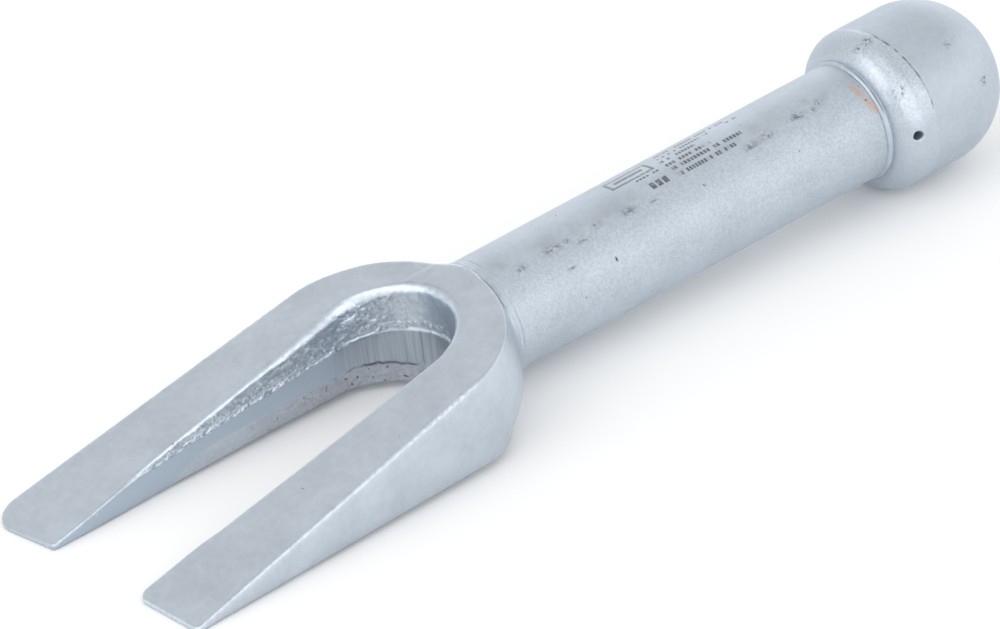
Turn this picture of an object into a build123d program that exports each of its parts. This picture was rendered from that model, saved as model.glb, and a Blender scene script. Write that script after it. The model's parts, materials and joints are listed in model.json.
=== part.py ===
from build123d import *
import math
import os

# Ball joint separator (pickle fork): a two-pronged steel wedge on a round
# shank, driven in with a hammer on its rounded striking head.
# Millimetres. The shank's axis is X, pointing at the head; +Z is the side of
# the sloping wedge face; the origin is the centre of the fork's throat.

# ---- driving dimensions ----------------------------------------------------
FORK_OPENING = 29.0          # narrowest gap between the prongs
SHANK_DIAMETER = 26.0
HEAD_DIAMETER = 36.2
PRONG_REACH = 78.6           # throat centre to the prong tips
BUTT_X = 24.6                # where the shank meets the fork
HEAD_FRONT_X = 127.3         # where the shank meets the head
HEAD_END_X = 161.4           # top of the striking dome

# ---- fork outline, seen from above -----------------------------------------
YOKE_HALF_WIDTH = 28.3       # at the prong roots
YOKE_LENGTH = 23.2           # throat centre to the back of the yoke
PRONG_SPLAY = 0.056          # outward run of the outer side per unit of reach
TIP_CORNER_RADIUS = 3.0

# ---- fork wedge, seen from the side ----------------------------------------
WEDGE_TOP_Z = 7.78           # height of the sloping face above the throat centre
WEDGE_SLOPE = 0.217
WEDGE_BOTTOM_Z = -11.75
BOTTOM_SLOPE = -0.016        # the underside drops slightly towards the shank
WEDGE_EDGE_RADIUS = 0.5
EDGE_ROUND_END_X = 18.0      # the edges fade into the boss behind this
BLANK_HEIGHT = 60.0          # taller than the wedge, before its faces are cut

# ---- inside of the fork: a straight trimmed band with drafts on both sides --
BAND_TOP_Z = -0.4            # upper edge of the band at the throat centre
BAND_TOP_SLOPE = 0.089
BAND_BOTTOM_Z = -6.2
UPPER_DRAFT = 11.5           # degrees
LOWER_DRAFT = 15.0
DRAFT_DEPTH = 24.0           # more than the wedge is thick

# ---- weld beads and spigots ------------------------------------------------
PREP = 1.2                   # leg of the weld chamfers
BEAD_CROWN = 0.4             # how far the fork's bead stands above the shank
FIT_GAP = 0.05               # radial gap round each spigot
FRONT_SPIGOT_DIAMETER = 12.0
FRONT_SPIGOT_LENGTH = 5.0
REAR_SPIGOT_DIAMETER = 18.0
REAR_SPIGOT_LENGTH = 12.5
END_GAP = 1.0                # left free at the bottom of each blind bore
SPIGOT_CHAMFER = 0.8
BOSS_START_X = 12.0          # the boss begins inside the yoke
BOSS_FILLET = 3.0
RAMP_START_X = 20.5          # the flat underside runs out to the shank behind this

# ---- striking head ---------------------------------------------------------
SHOULDER_END_X = 132.8
DOME_START_X = 146.3
NECK_RADIUS = 13.6           # radius of the head where its shoulder begins
STRIKING_FACE_RADIUS = 5.0   # small flat on top of the dome
SHOULDER_EXPONENT = 1.6
DOME_EXPONENT = 1.9
CURVE_STEPS = 8
VENT_X = 131.0               # gas vent into the relief groove of the spigot
VENT_DIAMETER = 2.0
VENT_ANGLE = 177.0           # degrees round the shank, from +Y towards +Z
RELIEF_START_X = 129.7
RELIEF_END_X = 132.3
RELIEF_DEPTH = 0.9

# ---- modelling aids --------------------------------------------------------
CUT_LENGTH = 400.0           # size of the blocks that cut the wedge faces
CUT_WIDTH = 200.0
CUT_HEIGHT = 100.0
LEVEL_LIMIT = 0.9            # a face whose normal has more Z than this is a wedge face
NEAR_BUTT = 0.1
ON_BOSS = 0.01

SHANK_RADIUS = SHANK_DIAMETER / 2
HEAD_RADIUS = HEAD_DIAMETER / 2
THROAT_RADIUS = FORK_OPENING / 2
FRONT_SPIGOT_RADIUS = FRONT_SPIGOT_DIAMETER / 2
REAR_SPIGOT_RADIUS = REAR_SPIGOT_DIAMETER / 2


# ---- helpers ---------------------------------------------------------------
def along_x(radius, start, end):
    """A round bar on the X axis, from start to end."""
    base = Plane(origin=(start, 0, 0), z_dir=(1, 0, 0))
    return extrude(base * Circle(radius), amount=end - start)


def revolved(*edges):
    """The solid that a closed outline of (x, radius) edges sweeps round the X axis."""
    return revolve(Plane.XZ * make_face(Wire(edges)), axis=Axis.X)


def chain(*points):
    """Straight edges through the points, in order."""
    return [Line(a, b) for a, b in zip(points, points[1:])]


def rounded_run(start, end, exponent, flat_at_start):
    """A superellipse quarter between two (x, radius) points, level at one of its ends."""
    points = []
    for step in range(CURVE_STEPS + 1):
        angle = math.pi / 2 * step / CURVE_STEPS
        out = math.sin(angle) ** (2 / exponent)
        up = math.cos(angle) ** (2 / exponent)
        if flat_at_start:
            x = start[0] + (end[0] - start[0]) * out
            radius = end[1] + (start[1] - end[1]) * up
        else:
            x = end[0] + (start[0] - end[0]) * up
            radius = start[1] + (end[1] - start[1]) * out
        points.append((x, radius))
    return Spline(*points)


def half_space(height, slope, upper):
    """Everything on one side of the plane z = height + slope * x."""
    direction = (-slope, 0, 1) if upper else (slope, 0, -1)
    plane = Plane(origin=(0, 0, height), x_dir=(1, 0, slope), z_dir=direction)
    return extrude(plane * Rectangle(CUT_LENGTH, CUT_WIDTH), amount=CUT_HEIGHT)


def distance_from_x(point):
    """How far a point lies from the shank's axis."""
    return math.hypot(point.Y, point.Z)


# ---- weld beads ------------------------------------------------------------
def fork_weld_groove():
    """Hollow quarter round on the fork's side of the weld, as (x, radius)."""
    left = (BUTT_X - PREP, SHANK_RADIUS)
    root = (BUTT_X, SHANK_RADIUS - PREP)
    depth = PREP * math.sqrt(0.5)
    return ThreePointArc(left, (BUTT_X - depth, SHANK_RADIUS - depth), root)


def make_fork_weld_bead():
    """Ring that fills the groove between the fork's boss and the shank."""
    left = (BUTT_X - PREP, SHANK_RADIUS)
    root = (BUTT_X, SHANK_RADIUS - PREP)
    right = (BUTT_X + PREP, SHANK_RADIUS)
    crown = ThreePointArc(right, (BUTT_X, SHANK_RADIUS + BEAD_CROWN), left)
    return revolved(fork_weld_groove(), Line(root, right), crown)


def make_head_weld_bead():
    """Fillet ring between the end of the shank and the front of the head."""
    toe = (HEAD_FRONT_X - PREP, SHANK_RADIUS)
    root = (HEAD_FRONT_X, SHANK_RADIUS - PREP)
    top = (HEAD_FRONT_X, NECK_RADIUS)
    middle = (HEAD_FRONT_X - PREP / 3, SHANK_RADIUS + (NECK_RADIUS - SHANK_RADIUS) * 3 / 4)
    return revolved(*chain(toe, root, top), ThreePointArc(top, middle, toe))


# ---- prong fork ------------------------------------------------------------
def fork_outline():
    """Outer U of the fork: a half ellipse behind, straight splayed prongs ahead."""
    turn = math.atan2(YOKE_HALF_WIDTH, YOKE_LENGTH * PRONG_SPLAY)
    root_x = YOKE_LENGTH * math.cos(turn)
    root_y = YOKE_HALF_WIDTH * math.sin(turn)
    tip_y = root_y + PRONG_SPLAY * (root_x + PRONG_REACH)
    degrees = math.degrees(turn)
    back = EllipticalCenterArc(
        (0, 0), YOKE_LENGTH, YOKE_HALF_WIDTH, start_angle=-degrees, arc_size=2 * degrees
    )
    sides = chain((root_x, root_y), (-PRONG_REACH, tip_y), (-PRONG_REACH, -tip_y), (root_x, -root_y))
    face = make_face(Wire([back] + sides))
    tips = face.vertices().group_by(Axis.X)[0]
    return fillet(tips, TIP_CORNER_RADIUS)


def slot_outline():
    """Inner U of the fork, running out past the prong tips."""
    open_x = -PRONG_REACH - DRAFT_DEPTH
    r = THROAT_RADIUS
    back = CenterArc((0, 0), r, -90, 180)
    sides = chain((0, r), (open_x, r), (open_x, -r), (0, -r))
    return make_face(Wire([back] + sides))


def fork_slot():
    """The gap between the prongs: a straight band that opens upwards and downwards."""
    band_top = Plane(
        origin=(0, 0, BAND_TOP_Z), x_dir=(1, 0, BAND_TOP_SLOPE), z_dir=(-BAND_TOP_SLOPE, 0, 1)
    )
    band_bottom = Plane(origin=(0, 0, BAND_BOTTOM_Z), x_dir=(1, 0, 0), z_dir=(0, 0, -1))
    straight = extrude(slot_outline(), amount=BLANK_HEIGHT / 2, both=True)
    upper = extrude(band_top * slot_outline(), amount=DRAFT_DEPTH, taper=-UPPER_DRAFT)
    lower = extrude(band_bottom * slot_outline(), amount=DRAFT_DEPTH, taper=-LOWER_DRAFT)
    return straight + upper + lower


def round_boss_root(blank):
    """Concave fillet where the round boss leaves the back of the yoke."""
    root = [
        edge
        for edge in blank.edges()
        if (edge @ 0.5).X < BUTT_X - NEAR_BUTT
        and all(abs(distance_from_x(edge @ t) - SHANK_RADIUS) < ON_BOSS for t in (0, 0.5, 1))
    ]
    return fillet(root, BOSS_FILLET)


def round_wedge_edges(blank):
    """Small radius along the outer edges of the two wedge faces."""
    flats = [face for face in blank.faces() if abs(face.normal_at().Z) > LEVEL_LIMIT]
    wedge_faces = [face for face in flats if face.geom_type == GeomType.PLANE]
    edges = [edge for face in wedge_faces for edge in face.edges()]
    rims = [edge for edge in edges if (edge @ 0.5).X < EDGE_ROUND_END_X]
    return fillet(rims, WEDGE_EDGE_RADIUS)


def boss_rim():
    """Ring outside the weld groove at the end of the boss."""
    root = (BUTT_X, SHANK_RADIUS - PREP)
    outer = (BUTT_X, SHANK_RADIUS)
    left = (BUTT_X - PREP, SHANK_RADIUS)
    return revolved(fork_weld_groove(), *chain(root, outer, left))


def boss_ramp():
    """End of the boss, where the flat underside slopes down to the round shank."""
    start_z = WEDGE_BOTTOM_Z + BOTTOM_SLOPE * RAMP_START_X
    slope = (-SHANK_RADIUS - start_z) / (BUTT_X - RAMP_START_X)
    ramp = along_x(SHANK_RADIUS, RAMP_START_X, BUTT_X)
    ramp -= half_space(start_z - slope * RAMP_START_X, slope, upper=False)
    return ramp - half_space(WEDGE_TOP_Z, WEDGE_SLOPE, upper=True)


def make_prong_fork():
    """Forged wedge fork with a short round boss and a blind bore behind."""
    blank = extrude(fork_outline(), amount=BLANK_HEIGHT / 2, both=True)
    blank += along_x(SHANK_RADIUS, BOSS_START_X, BUTT_X)
    blank = round_boss_root(blank)
    blank -= half_space(WEDGE_BOTTOM_Z, BOTTOM_SLOPE, upper=False)
    blank -= half_space(WEDGE_TOP_Z, WEDGE_SLOPE, upper=True)
    blank += boss_ramp()
    fork = round_wedge_edges(blank) - fork_slot()

    # The weld groove round the end of the boss is the bead's own shape.
    fork -= boss_rim()
    fork -= make_fork_weld_bead()
    bore_end = BUTT_X - FRONT_SPIGOT_LENGTH - END_GAP
    return fork - along_x(FRONT_SPIGOT_RADIUS + FIT_GAP, bore_end, BUTT_X)


# ---- shank -----------------------------------------------------------------
def make_shank():
    """Round bar with a turned spigot at each end and chamfers for the welds."""
    front = BUTT_X - FRONT_SPIGOT_LENGTH
    rear = HEAD_FRONT_X + REAR_SPIGOT_LENGTH
    groove = REAR_SPIGOT_RADIUS - RELIEF_DEPTH
    outline = chain(
        (front, 0),
        (front, FRONT_SPIGOT_RADIUS - SPIGOT_CHAMFER),
        (front + SPIGOT_CHAMFER, FRONT_SPIGOT_RADIUS),
        (BUTT_X, FRONT_SPIGOT_RADIUS),
        (BUTT_X, SHANK_RADIUS - PREP),
        (BUTT_X + PREP, SHANK_RADIUS),
        (HEAD_FRONT_X - PREP, SHANK_RADIUS),
        (HEAD_FRONT_X, SHANK_RADIUS - PREP),
        (HEAD_FRONT_X, REAR_SPIGOT_RADIUS),
        (RELIEF_START_X, REAR_SPIGOT_RADIUS),
        (RELIEF_START_X, groove),
        (RELIEF_END_X, groove),
        (RELIEF_END_X, REAR_SPIGOT_RADIUS),
        (rear - SPIGOT_CHAMFER, REAR_SPIGOT_RADIUS),
        (rear, REAR_SPIGOT_RADIUS - SPIGOT_CHAMFER),
        (rear, 0),
        (front, 0),
    )
    return revolved(*outline)


# ---- striking head ---------------------------------------------------------
def make_striking_head():
    """Forged cap with a rounded shoulder, a domed end and a blind socket."""
    bore = REAR_SPIGOT_RADIUS + FIT_GAP
    bore_end = HEAD_FRONT_X + REAR_SPIGOT_LENGTH + END_GAP
    shoulder = rounded_run(
        (HEAD_FRONT_X, NECK_RADIUS), (SHOULDER_END_X, HEAD_RADIUS), SHOULDER_EXPONENT, False
    )
    side = Line((SHOULDER_END_X, HEAD_RADIUS), (DOME_START_X, HEAD_RADIUS))
    dome = rounded_run(
        (DOME_START_X, HEAD_RADIUS), (HEAD_END_X, STRIKING_FACE_RADIUS), DOME_EXPONENT, True
    )
    closing = chain(
        (HEAD_END_X, STRIKING_FACE_RADIUS),
        (HEAD_END_X, 0),
        (bore_end, 0),
        (bore_end, bore),
        (HEAD_FRONT_X, bore),
        (HEAD_FRONT_X, NECK_RADIUS),
    )
    head = revolved(shoulder, side, dome, *closing)
    angle = math.radians(VENT_ANGLE)
    outward = (0, math.cos(angle), math.sin(angle))
    start = tuple(REAR_SPIGOT_RADIUS * part for part in outward)
    vent_plane = Plane(origin=(VENT_X, start[1], start[2]), z_dir=outward)
    return head - extrude(vent_plane * Circle(VENT_DIAMETER / 2), amount=HEAD_RADIUS)


# ---- the whole tool --------------------------------------------------------
NODES = {
    "prong_fork": make_prong_fork,
    "shank": make_shank,
    "striking_head": make_striking_head,
    "fork_weld_bead": make_fork_weld_bead,
    "head_weld_bead": make_head_weld_bead,
}

os.makedirs("parts", exist_ok=True)
for name, make in NODES.items():
    piece = make()
    export_step(piece, "parts/" + name + ".step")
    print(name, round(piece.volume), "mm3", "valid" if piece.is_valid else "NOT VALID")
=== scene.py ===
import json
import math

import bpy
import numpy as np
from mathutils import Matrix, Vector


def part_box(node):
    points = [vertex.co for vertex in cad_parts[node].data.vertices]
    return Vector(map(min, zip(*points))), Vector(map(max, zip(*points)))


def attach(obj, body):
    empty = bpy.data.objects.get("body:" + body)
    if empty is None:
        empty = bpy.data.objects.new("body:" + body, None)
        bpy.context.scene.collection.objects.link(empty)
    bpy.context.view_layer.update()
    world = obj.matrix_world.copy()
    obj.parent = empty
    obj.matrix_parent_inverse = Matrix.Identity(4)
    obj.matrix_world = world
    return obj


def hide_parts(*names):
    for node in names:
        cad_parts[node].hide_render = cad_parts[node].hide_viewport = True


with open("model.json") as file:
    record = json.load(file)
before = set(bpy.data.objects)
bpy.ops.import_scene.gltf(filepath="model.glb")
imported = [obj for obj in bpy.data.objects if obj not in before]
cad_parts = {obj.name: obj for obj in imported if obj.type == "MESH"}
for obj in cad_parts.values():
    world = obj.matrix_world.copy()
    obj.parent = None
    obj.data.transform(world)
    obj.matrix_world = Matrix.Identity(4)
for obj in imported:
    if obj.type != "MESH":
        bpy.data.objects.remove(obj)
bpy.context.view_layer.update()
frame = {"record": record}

# Ball joint separator: a forged wedge fork, a round shank and a domed head.
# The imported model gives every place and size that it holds; the values below
# add what only the eye sees. Shapes are worked out in millimetres.
MM = 0.001


def node_corners(node):
    """A node's lowest and highest corners, in millimetres."""
    low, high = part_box(node)
    return np.array(low) / MM, np.array(high) / MM


MOUNTS = {mount["name"]: mount for mount in frame["record"]["mounts"]}
FORK_LOW, FORK_HIGH = node_corners("prong_fork")
SHANK_LOW, SHANK_HIGH = node_corners("shank")
HEAD_LOW, HEAD_HIGH = node_corners("striking_head")

TIP_X = FORK_LOW[0]
BUTT_X = FORK_HIGH[0]
HEAD_FRONT_X = HEAD_LOW[0]
HEAD_END_X = HEAD_HIGH[0]
SHANK_RADIUS = SHANK_HIGH[2]
HEAD_RADIUS = HEAD_HIGH[2]
THROAT_RADIUS = MOUNTS["stud_throat"]["dims"]["r_mm"]


def face_line(mount):
    """Height at x = 0 and slope along x of a mount's flat face."""
    x, _, z = (value / MM for value in mount["pos_m"])
    slope = -mount["axis"][0] / mount["axis"][2]
    return z - slope * x, slope


TOP_Z, TOP_SLOPE = face_line(MOUNTS["upper_wedge_face"])
BOTTOM_Z, BOTTOM_SLOPE = face_line(MOUNTS["lower_wedge_face"])

# ---- fork ------------------------------------------------------------------
# The forging isn't symmetric: where nothing else is said, a pair of values is
# for the -Y side and the +Y side. A pair named _X is a start and an end.
FORK_CELL = 0.32                 # grid spacing of the fork's mesh
FORK_MARGIN = 2.5                # the mesh's grid runs this far past the CAD part
FORK_KEPT = 0.5                  # share of the faces left after thinning out
THINNEST = 0.2
YOKE_HALF_WIDTH = (28.85, 28.5)  # at the prong roots
YOKE_LENGTH = (23.3, 22.65)      # behind the throat
YOKE_FULLNESS = (1.95, 1.8)      # 2 would be an ellipse
PRONG_SPLAY = 0.056
WALL_CROWN = 0.075               # outer walls bulge by this share of their height
YOKE_BULGE = 0.35                # more of it behind the throat, on the -Y side
YOKE_TUCK = 1.4                  # and less near the bottom there
YOKE_DIP = 0.35                  # a dip beside the throat, on the +Y side
TOP_EDGE_RADIUS = (0.25, 0.9)    # least at the tips, most at the yoke
YOKE_EDGE_LOSS = 0.75            # the edge is sharper by this share behind the throat, on -Y
BOTTOM_EDGE_RADIUS = 0.65
TIP_START = (-78.5, -78.15)      # X of the tips' inner corners
TIP_SLANT = (-0.005, 0.115)
OUTER_CORNER_RADIUS = (1.0, 7.5)
INNER_CORNER_RADIUS = (2.8, 0.5)
BOSS_START_X = 12.0
BOSS_STEP = 0.15                 # the boss stands this far over the shank
BOSS_TOP_RADIUS = 0.4
BOSS_FILLET = (2.5, 1.8)
CREVICE_X = 23.7                 # where the fork's boss meets the weld bead
CREVICE_RADIUS = 0.22
CREVICE_EDGE_RADIUS = 0.12
CREVICE_FILLED = (138, 150, 210, 230)  # angles where weld starts to fill it and stops
BAND_TOP_Z = -0.4                # upper edge of the trimmed band, at x = 0
BAND_TOP_SLOPE = 0.085
BAND_BOTTOM_Z = -6.4
LEDGE = 0.33                     # rough ledge above the band
SHOULDER = 0.9                   # the slot's upper part is wider by this at one point
SHOULDER_AT = (2, 17)            # x and y of that point
SHOULDER_SPREAD = 60             # square millimetres, as below
UPPER_DRAFT = 0.03
LOWER_DRAFT = (0.05, 0.22)       # round the throat, and along the prongs
SLOT_NARROWS = (0.55, 1.1)       # towards the tips
SLOT_EDGE_RADIUS = 0.4
CREASE = 0.07                    # the inner rim meets the flat at a crease
RIM_RADIUS = (0.3, 1.45)         # least at the tips, most at the throat
RIM_SWELL = 0.8                  # and more by this at one point
RIM_SWELL_AT = (-3, 15)          # x and y of that point
RIM_SWELL_SPREAD = 130
FRONT_BORE_RADIUS = 6.05
FRONT_BORE_START_X = 18.6
THROAT_X = (-6, 4)               # from the prongs' look to the throat's
TIP_FADE_X = (-74, -56)          # roughness fades in behind the tips
SCRATCH_ANGLE = 22               # a scratch on the throat's wall, seen from above

# ---- shank -----------------------------------------------------------------
FRONT_SPIGOT_RADIUS = 6.0
REAR_SPIGOT_RADIUS = 9.0
SPIGOT_CHAMFER = 0.8
PREP = 1.2                       # chamfer under each weld
AXIS_GAP = 0.01                  # keeps the end faces' middle open, for clean quads
SHANK_CELL = 0.4                 # spacing of the mesh's rows along the bar
SHANK_SIDES = 264
VALLEY_ANGLE = 111               # the forging seam's shallow valley
VALLEY_DEPTH = 0.14
PIT_DEPTH = 0.35
STAIN_X = 124.0
SECOND_GROOVE_X = BUTT_X + 1.25  # on the shank's side of the fork's weld

# ---- head ------------------------------------------------------------------
HEAD_CELL = 0.32
HEAD_MARGIN = 0.7
HEAD_KEPT = 0.8                  # share of the faces left after thinning out
SHOULDER_END_X = 132.8
DOME_START_X = 146.3
NECK_RADIUS = 13.6
STRIKING_FACE_RADIUS = 5.0
SHOULDER_EXPONENT = 1.6
DOME_EXPONENT = 1.9
SOCKET_RADIUS = 9.05
SOCKET_END_X = 140.8
WORN_DEPTH = 0.35                # of a flattened patch on the shoulder, from the top to -Y
GROOVE_X = 135.9                 # the fine line that ends the shoulder's blasted front
GROOVE_LEAN = 2.4                # it comes forward by this at the top
VENT_X = 131.0
VENT_ANGLE = math.radians(177)
VENT_RADIUS = 1.0
VENT_FLOOR = 10.0                # the hole's floor is this far from the axis
VENT_EDGE_RADIUS = 0.18

# ---- repeatable noise ------------------------------------------------------
LATTICE = 256
TABLE_SEED = 7
NOISE_GAIN = 1.6             # brings the noise to about -1 to 1
OCTAVE_SHIFT = 31.7          # keeps the octaves from lining up
_random = np.random.RandomState(TABLE_SEED)
_shuffle = np.concatenate([_random.permutation(LATTICE)] * 2)
_slopes = _random.normal(size=(LATTICE, 3))
_slopes /= np.linalg.norm(_slopes, axis=1)[:, None]


def noise(points, size):
    """Smooth noise from about -1 to 1, with bumps of about the given size."""
    scaled = points / np.asarray(size, dtype=float)
    cell = np.floor(scaled).astype(int)
    part = scaled - cell
    ease = part * part * part * (part * (part * 6 - 15) + 10)
    total = np.zeros(len(points))
    for corner in np.ndindex(2, 2, 2):
        at = (cell + corner) % LATTICE
        pick = _shuffle[_shuffle[_shuffle[at[:, 0]] + at[:, 1]] + at[:, 2]]
        reach = (_slopes[pick] * (part - corner)).sum(1)
        weight = np.where(np.array(corner) == 1, ease, 1 - ease).prod(1)
        total += reach * weight
    return total * NOISE_GAIN


def rough(points, size, octaves=3):
    """Noise with finer noise laid over it."""
    total = np.zeros(len(points))
    for octave in range(octaves):
        shifted = points + OCTAVE_SHIFT * octave
        total += noise(shifted, np.asarray(size) / 2**octave) / 2**octave
    return total


# ---- solid shapes as distance fields ---------------------------------------
def step(value, start, end):
    """Eases from 0 at start to 1 at end."""
    t = np.clip((value - start) / (end - start), 0, 1)
    return t * t * (3 - 2 * t)


def window(value, start, full, wane, end):
    """Eases from 0 to 1 between start and full, and back between wane and end."""
    return step(value, start, full) * (1 - step(value, wane, end))


def bell(value, width):
    """1 where value is 0, falling away on both sides."""
    return np.exp(-((value / width) ** 2))


def near_place(x, y, place, spread):
    """1 at a place seen from above, falling away round it."""
    return np.exp(-((x - place[0]) ** 2 + (y - place[1]) ** 2) / spread)


def by_side(y, pair):
    """The first value of a pair on the -Y side and the second on the +Y side."""
    return np.where(y > 0, pair[1], pair[0])


def round_both(a, b, radius):
    """Where two solids overlap, with the shared edge rounded off."""
    inside = np.minimum(-radius, np.maximum(a, b))
    return inside + np.hypot(np.maximum(radius + a, 0), np.maximum(radius + b, 0))


def round_either(a, b, radius):
    """Two solids joined with a concave fillet between them."""
    outside = np.maximum(radius, np.minimum(a, b))
    return outside - np.hypot(np.maximum(radius - a, 0), np.maximum(radius - b, 0))


def surface(distance, low, high, cell):
    """Closed quad mesh round the region where distance(points) is negative."""
    counts = [int(math.ceil((b - a) / cell)) + 1 for a, b in zip(low, high)]
    axes = [a + cell * np.arange(n) for a, n in zip(low, counts)]
    values = np.empty(counts, dtype=np.float32)
    for i, x in enumerate(axes[0]):
        y, z = np.meshgrid(axes[1], axes[2], indexing="ij")
        sheet = np.stack([np.full(y.size, x), y.ravel(), z.ravel()], 1)
        values[i] = distance(sheet).reshape(y.shape)

    # One vertex for each cell that the surface crosses, at the middle of its crossings.
    inside = values < 0
    cells = tuple(n - 1 for n in counts)
    total = np.zeros(cells + (3,), dtype=np.float32)
    crossings = np.zeros(cells, dtype=np.int32)
    for axis in range(3):
        for offset in np.ndindex(2, 2):
            start = list(offset)
            start.insert(axis, 0)
            end = list(start)
            end[axis] = 1
            a = values[tuple(slice(s, s + n) for s, n in zip(start, cells))]
            b = values[tuple(slice(s, s + n) for s, n in zip(end, cells))]
            crossed = (a < 0) != (b < 0)
            share = np.where(crossed, a / np.where(crossed, a - b, 1), 0)
            for k in range(3):
                total[..., k] += np.where(crossed, share if k == axis else start[k], 0)
            crossings += crossed
    used = crossings > 0
    number = np.full(cells, -1, dtype=np.int64)
    number[used] = np.arange(used.sum())
    middle = total[used] / crossings[used][:, None]
    points = np.array(low) + cell * (np.argwhere(used) + middle)

    # One quad for each grid edge that the surface crosses.
    quads = []
    for axis in range(3):
        u, v = (axis + 1) % 3, (axis + 2) % 3
        inner = [slice(1, n) for n in cells]
        inner[axis] = slice(0, cells[axis])
        ahead = list(inner)
        ahead[axis] = slice(1, cells[axis] + 1)
        a, b = inside[tuple(inner)], inside[tuple(ahead)]
        where = np.argwhere(a != b)
        leaving = a[a != b]
        base = where.copy()
        for k in (u, v):
            base[:, k] += 1
        ring = []
        for du, dv in ((-1, -1), (0, -1), (0, 0), (-1, 0)):
            at = base.copy()
            at[:, u] += du
            at[:, v] += dv
            ring.append(number[tuple(at.T)])
        ring = np.stack(ring, 1)
        ring[~leaving] = ring[~leaving][:, ::-1]
        quads.append(ring)
    return settle(points, distance, cell), np.concatenate(quads)


def slope_of(distance, points, reach):
    """Direction in which a distance field grows fastest, as unit vectors."""
    parts = []
    for axis in range(3):
        shift = np.zeros(3)
        shift[axis] = reach
        parts.append(distance(points + shift) - distance(points - shift))
    direction = np.stack(parts, 1)
    return direction / np.maximum(np.linalg.norm(direction, axis=1), 1e-9)[:, None]


def settle(points, distance, cell):
    """Moves points onto the surface."""
    for _ in range(4):
        off = np.clip(distance(points), -cell / 2, cell / 2)
        points = points - slope_of(distance, points, cell / 8) * off[:, None]
    return points


def turn_of(points):
    """Angle round the shank's axis in degrees, from +Y towards +Z, 0 to 360."""
    return np.degrees(np.arctan2(points[:, 2], points[:, 1])) % 360


# ---- meshes ----------------------------------------------------------------
def mesh_piece(name, points, faces, **layers):
    """A smooth-shaded object in metres, with named values at its vertices."""
    mesh = bpy.data.meshes.new(name)
    mesh.from_pydata((points * MM).tolist(), [], faces.tolist())
    for layer, values in layers.items():
        mesh.attributes.new(layer, "FLOAT", "POINT").data.foreach_set("value", values)
    mesh.polygons.foreach_set("use_smooth", [True] * len(mesh.polygons))
    mesh.update()
    piece = bpy.data.objects.new(name, mesh)
    bpy.context.collection.objects.link(piece)
    return piece


def thin_out(piece, ratio):
    """Drops faces where the surface is flat."""
    thinner = piece.modifiers.new("thin", "DECIMATE")
    thinner.ratio = ratio
    bpy.context.view_layer.update()
    shown = piece.evaluated_get(bpy.context.evaluated_depsgraph_get())
    old = piece.data
    piece.data = bpy.data.meshes.new_from_object(shown)
    piece.modifiers.clear()
    bpy.data.meshes.remove(old)
    piece.data.name = piece.name


def lathe(profile, sides, closed):
    """Points and quads of an (x, radius) outline turned round the X axis."""
    rows = len(profile)
    angle = np.arange(sides) * 2 * math.pi / sides
    x = np.repeat(profile[:, 0], sides)
    radius = np.repeat(profile[:, 1], sides)
    turn = np.tile(angle, rows)
    points = np.stack([x, radius * np.cos(turn), radius * np.sin(turn)], 1)
    spans = rows if closed else rows - 1
    faces = []
    for row in range(spans):
        a = row * sides + np.arange(sides)
        b = row * sides + np.roll(np.arange(sides), -1)
        c = (b + sides) % (rows * sides)
        d = (a + sides) % (rows * sides)
        faces.append(np.stack([a, b, c, d], 1))
    return points, np.concatenate(faces)


# ---- fork ------------------------------------------------------------------
def fork_thickness(x):
    """Height between the two wedge faces."""
    return (TOP_Z + TOP_SLOPE * x) - (BOTTOM_Z + BOTTOM_SLOPE * x)


def outline_distance(x, y):
    """Outer U of the fork, seen from above."""
    side = np.abs(y)
    width = by_side(y, YOKE_HALF_WIDTH)
    length = by_side(y, YOKE_LENGTH)
    fullness = by_side(y, YOKE_FULLNESS)
    along, across = np.maximum(x, 0) / length, side / width
    near = (along**fullness + across**fullness) ** (1 / fullness)
    more = fullness - 1
    steep = np.hypot(along**more / length, across**more / width)
    back = near**more * (near - 1) / np.maximum(steep, 1e-9)
    ahead = (side - width + PRONG_SPLAY * x) / math.hypot(1, PRONG_SPLAY)
    return np.where(x > 0, back, ahead)


def tip_distance(x, y):
    """How far a point lies in front of its prong's slanting end."""
    past = np.abs(y) - THROAT_RADIUS
    return by_side(y, TIP_START) - by_side(y, TIP_SLANT) * past - x


def above_band(p):
    """Height over the upper edge of the trimmed band."""
    return p[:, 2] - BAND_TOP_Z - BAND_TOP_SLOPE * p[:, 0]


def slot_reach(p):
    """How far a point lies from the middle of the slot."""
    return np.where(p[:, 0] > 0, np.hypot(p[:, 0], p[:, 1]), np.abs(p[:, 1]))


def slot_radius(p):
    """Half width of the slot at each point's height."""
    x, y, z = p.T
    up = above_band(p)
    down = BAND_BOTTOM_Z - z
    ledge = LEDGE * step(up, -0.2, 0.7) + UPPER_DRAFT * np.maximum(up, 0)
    ledge += SHOULDER * near_place(x, y, SHOULDER_AT, SHOULDER_SPREAD) * step(up, 1, 7)
    narrower = np.where(y > 0, SLOT_NARROWS[1] * step(-x, 45, 75), SLOT_NARROWS[0] * step(-x, 20, 75))
    lower = LOWER_DRAFT[1] + (LOWER_DRAFT[0] - LOWER_DRAFT[1]) * step(x, 0, 9)
    lower *= 1 - 0.8 * step(-x, 15, 60)
    return THROAT_RADIUS - narrower + ledge + lower * np.maximum(down, 0)


def wall_bulge(x, y, across, thick):
    """How far the outer walls stand out; across runs from -1 at the bottom to 1."""
    crown = WALL_CROWN * thick * np.maximum(1 - across**2, -0.5)
    fuller = YOKE_BULGE * step(across, -0.8, -0.2) * step(-across, -1, -0.6)
    fuller -= YOKE_TUCK * step(-across, 0.3, 1.0)
    fuller *= step(x, 4, 16)
    return crown + np.where(y < 0, fuller, -YOKE_DIP * window(x, -2, 5, 8, 15))


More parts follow.
